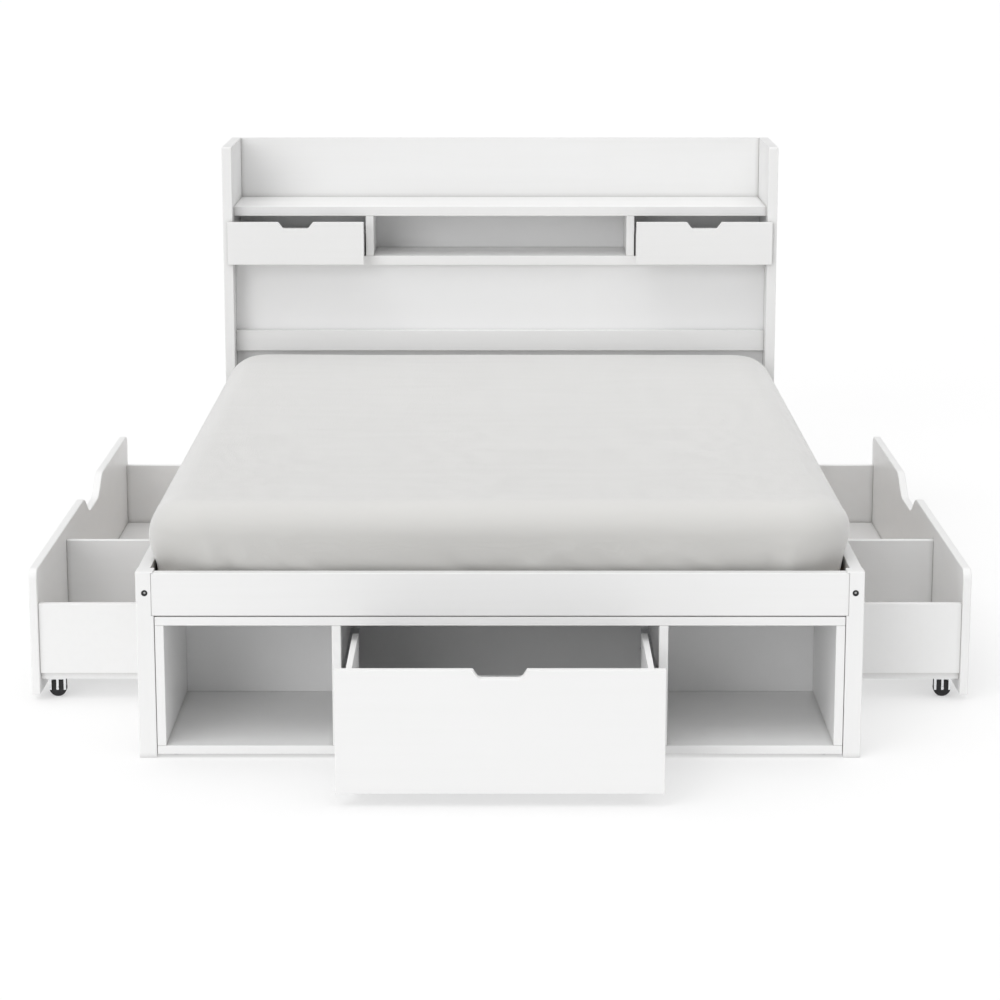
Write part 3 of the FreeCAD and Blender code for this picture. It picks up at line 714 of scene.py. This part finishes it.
def soften(sheet, loaf):
    """The slight unevenness of a sheet over foam: long low waves and faint creases across the top."""
    for vertex in sheet.data.vertices:
        if vertex.co.z <= loaf.high.z - TOP_SKIN:
            continue
        long_wave = noise.noise(vertex.co * WAVE_SCALE) * WAVE_HEIGHT
        place = Vector((vertex.co.x * CREASE_SCALE[0], vertex.co.y * CREASE_SCALE[1], 3.0))
        vertex.co.z += long_wave + noise.noise(place) * CREASE_HEIGHT


def subdivide(piece):
    modifier = piece.modifiers.new("subdivision", "SUBSURF")
    modifier.levels = 1
    modifier.render_levels = 1
    evaluated = piece.evaluated_get(bpy.context.evaluated_depsgraph_get())
    finer = bpy.data.meshes.new_from_object(evaluated)
    piece.modifiers.clear()
    piece.data = finer
    finer.shade_smooth()


def elastic(ring_points):
    """The elastic that gathers the sheet's hem, a thin puckered tube under the mattress."""
    sides = ELASTIC_SIDES
    points = []
    faces = []
    count = len(ring_points)
    for step, middle in enumerate(ring_points):
        ahead = (ring_points[(step + 1) % count] - ring_points[step - 1]).normalized()
        inward = Vector((0.0, 0.0, 1.0)).cross(ahead)
        radius = ELASTIC_RADIUS + ELASTIC_PUCKER * math.sin(step * 2.1)
        for side in range(sides):
            turn = math.tau * side / sides
            flat = inward * (radius * ELASTIC_WIDTH * math.cos(turn))
            rise = Vector((0.0, 0.0, radius * ELASTIC_DEPTH * math.sin(turn)))
            points.append(tuple(middle + flat + rise))
    for step in range(count):
        for side in range(sides):
            after = (step + 1) % count
            beside = (side + 1) % sides
            near = (step * sides + side, step * sides + beside)
            far = (after * sides + side, after * sides + beside)
            faces.append((near[0], far[0], far[1], near[1]))
    mesh = bpy.data.meshes.new("sheet_elastic")
    mesh.from_pydata(points, [], faces)
    mesh.shade_smooth()
    return mesh


core_loaf = Loaf(0.0)
core = new_piece("mattress_core", core_loaf.build("mattress_core", QUARTER, True), ticking)
sheet_loaf = Loaf(SLACK)
sheet_mesh = sheet_loaf.build("fitted_sheet", SHEET_TUCK, False, Pleats(sheet_loaf, 5))
fitted_sheet = new_piece("fitted_sheet", sheet_mesh, sheet_cloth)
cloth_groups(fitted_sheet, sheet_loaf)
settle(fitted_sheet, core)
soften(fitted_sheet, sheet_loaf)
hem_points = [vertex.co.copy() for vertex in fitted_sheet.data.vertices][-len(sheet_loaf.rim()):]
subdivide(fitted_sheet)
sheet_elastic = new_piece("sheet_elastic", elastic(hem_points), sheet_cloth)

for piece in (core, fitted_sheet, sheet_elastic):
    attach(piece, "bed")
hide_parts("mattress")
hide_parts("mattress")


# ---------------------------------------------------------------- stage, light and camera
def floor():
    mesh = bpy.data.meshes.new("floor")
    reach = FLOOR_REACH
    corners = [(-reach, -reach, 0), (reach, -reach, 0), (reach, reach, 0), (-reach, reach, 0)]
    mesh.from_pydata(corners, [], [(0, 1, 2, 3)])
    graph = Graph("floor")
    tone = graph.noise(graph.place(), 0.7, 2.0)
    graph.colour(graph.mix(graph.between(tone, 0.0, 1.0, 0.3, 0.7), FLOOR_LIGHT, FLOOR_DARK))
    graph.fix(Roughness=0.95, Specular_IOR_Level=0.05)
    graph.fix(Emission_Color=WHITE, Emission_Strength=FLOOR_GLOW)
    new_piece("floor", mesh, graph.material)


def sun(name, left, up, strength, softness):
    """A distant light, so many degrees left of the camera's line and so many above the floor."""
    data = bpy.data.lights.new(name, "SUN")
    data.energy = strength
    data.angle = math.radians(softness)
    light = bpy.data.objects.new(name, data)
    turn = math.radians(left)
    rise = math.radians(up)
    place = Vector((-math.sin(turn) * math.cos(rise), -math.cos(turn) * math.cos(rise), math.sin(rise)))
    light.rotation_euler = (-place).to_track_quat("-Z", "Y").to_euler()
    scene.collection.objects.link(light)


def surroundings():
    """A white studio, brightest overhead and a little darker to the right."""
    world = bpy.data.worlds.new("studio")
    world.use_nodes = True
    tree = world.node_tree
    background = tree.nodes["Background"]
    coordinates = tree.nodes.new("ShaderNodeTexCoord")
    parts = tree.nodes.new("ShaderNodeSeparateXYZ")
    tree.links.new(coordinates.outputs["Generated"], parts.inputs["Vector"])
    graded = []
    upward = ("Z", SKY_HORIZON, SKY_OVERHEAD, 0.0)
    sideways = ("X", SKY_LEFT, SKY_RIGHT, -1.0)
    for axis, low, high, from_low in (upward, sideways):
        grade = tree.nodes.new("ShaderNodeMapRange")
        grade.inputs["From Min"].default_value = from_low
        grade.inputs["From Max"].default_value = 1.0
        grade.inputs["To Min"].default_value = low
        grade.inputs["To Max"].default_value = high
        tree.links.new(parts.outputs[axis], grade.inputs["Value"])
        graded.append(grade.outputs["Result"])
    product = tree.nodes.new("ShaderNodeMath")
    product.operation = "MULTIPLY"
    tree.links.new(graded[0], product.inputs[0])
    tree.links.new(graded[1], product.inputs[1])
    tree.links.new(product.outputs["Value"], background.inputs["Strength"])
    background.inputs["Color"].default_value = WHITE
    scene.world = world


def camera():
    """Level with a standing person, looking down the middle of the bed through a long lens."""
    data = bpy.data.cameras.new("camera")
    data.sensor_width = SENSOR
    data.lens = LENS
    data.clip_end = 200.0
    piece = bpy.data.objects.new("camera", data)
    piece.location = (0.0, foot_plane - CAMERA_BACK, CAMERA_HEIGHT)
    piece.rotation_euler = (math.radians(90.0 - CAMERA_DOWN), 0.0, 0.0)
    scene.collection.objects.link(piece)
    scene.camera = piece


floor()
surroundings()
sun("key", left=48.0, up=58.0, strength=0.34, softness=26.0)
sun("front", left=26.0, up=14.0, strength=0.66, softness=30.0)
camera()
scene.view_settings.view_transform = "Standard"
